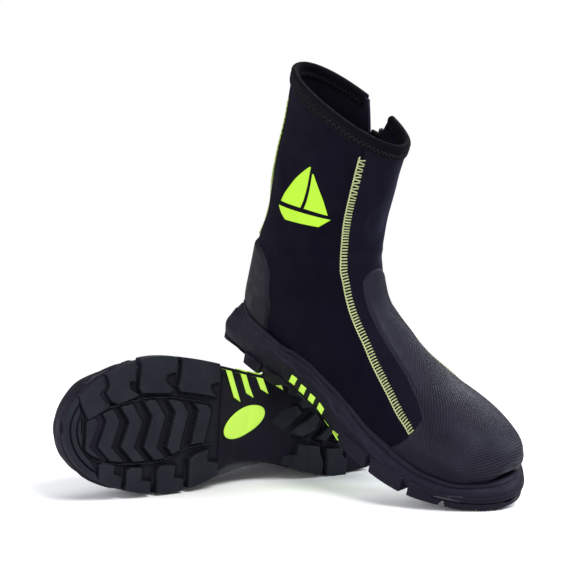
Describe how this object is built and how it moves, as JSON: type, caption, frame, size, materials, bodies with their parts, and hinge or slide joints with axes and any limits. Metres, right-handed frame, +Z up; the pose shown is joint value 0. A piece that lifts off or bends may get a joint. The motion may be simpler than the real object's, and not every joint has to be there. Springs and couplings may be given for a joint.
{
  "type": "deck boots",
  "caption": "Calf-high neoprene sailing boots with rubber toe caps, lugged soles and side zips; the left boot lies on its side and the right boot leans on it.",
  "frame": {"origin": "on the ground, centred under the pair", "axes": "+Z up, +X to the standing boot's toe side (right as seen from the front), +Y away from the viewer"},
  "size_m": [0.3882, 0.4216, 0.3595],
  "materials": {
    "tread_rubber": "matt moulded rubber",
    "rand_rubber": "satin moulded rubber",
    "midsole_foam": "closed-cell foam",
    "footbed_foam": "knit over foam",
    "neoprene": "nylon-faced neoprene",
    "front_neoprene": "nylon-faced neoprene, slightly lighter",
    "lining": "stretch knit",
    "binding_tape": "woven elastic tape",
    "toe_rubber": "embossed rubber",
    "heel_rubber": "smooth rubber",
    "seam_thread": "pale lime thread",
    "lime_print": "heat-pressed film",
    "lime_rubber": "soft moulded rubber",
    "zip_tape": "woven tape",
    "zip_plastic": "moulded plastic",
    "slider_metal": "black painted zinc",
    "pull_cord": "soft moulded rubber"
  },
  "bodies": {
    "left_boot": {"left_tread": "tread_rubber", "left_rand": "rand_rubber", "left_midsole": "midsole_foam", "left_footbed": "footbed_foam", "left_toe_box": "neoprene", "left_front_panel": "front_neoprene", "left_outer_panel": "neoprene", "left_inner_panel": "neoprene", "left_zip_gusset": "lining", "left_collar_binding": "binding_tape", "left_toe_cap": "toe_rubber", "left_heel_patch": "heel_rubber", "left_front_seam": "seam_thread", "left_back_seam": "seam_thread", "left_inner_seam": "seam_thread", "left_side_mark": "lime_print", "left_arch_inlays": "lime_rubber", "left_arch_badge": "lime_rubber", "left_tape_front": "zip_tape", "left_tape_back": "zip_tape", "left_teeth_front": "zip_plastic", "left_teeth_back": "zip_plastic", "left_zip_stop": "zip_plastic"},
    "left_slider": {"left_zip_slider": "slider_metal"},
    "left_pull": {"left_zip_pull": "pull_cord"},
    "right_boot": {"right_tread": "tread_rubber", "right_rand": "rand_rubber", "right_midsole": "midsole_foam", "right_footbed": "footbed_foam", "right_toe_box": "neoprene", "right_front_panel": "front_neoprene", "right_outer_panel": "neoprene", "right_inner_panel": "neoprene", "right_zip_gusset": "lining", "right_collar_binding": "binding_tape", "right_toe_cap": "toe_rubber", "right_heel_patch": "heel_rubber", "right_front_seam": "seam_thread", "right_back_seam": "seam_thread", "right_inner_seam": "seam_thread", "right_side_mark": "lime_print", "right_arch_inlays": "lime_rubber", "right_arch_badge": "lime_rubber", "right_tape_front": "zip_tape", "right_tape_back": "zip_tape", "right_teeth_front": "zip_plastic", "right_teeth_back": "zip_plastic", "right_zip_stop": "zip_plastic"},
    "right_slider": {"right_zip_slider": "slider_metal"},
    "right_pull": {"right_zip_pull": "pull_cord"}
  },
  "joints": [
    {"name": "right_lift", "type": "slide", "parent": "left_boot", "child": "right_boot", "axis": [0, 0, 1], "range_m": [0, 0.3]},
    {"name": "left_zip_slide", "type": "slide", "parent": "left_boot", "child": "left_slider", "axis": [-0.6157, 0.7878, 0.0162], "range_m": [-0.092, 0.005]},
    {"name": "left_pull_hinge", "type": "hinge", "parent": "left_slider", "child": "left_pull", "pos_m": [-0.12111, 0.12987, 0.00208], "axis": [0.776, 0.6098, -0.1609], "range_deg": [0, 120]},
    {"name": "right_zip_slide", "type": "slide", "parent": "right_boot", "child": "right_slider", "axis": [0.1772, -0.4623, 0.8688], "range_m": [-0.092, 0.005]},
    {"name": "right_pull_hinge", "type": "hinge", "parent": "right_slider", "child": "right_pull", "pos_m": [0.07851, -0.11226, 0.29735], "axis": [0.6289, -0.6259, -0.4613], "range_deg": [0, 120]}
  ]
}
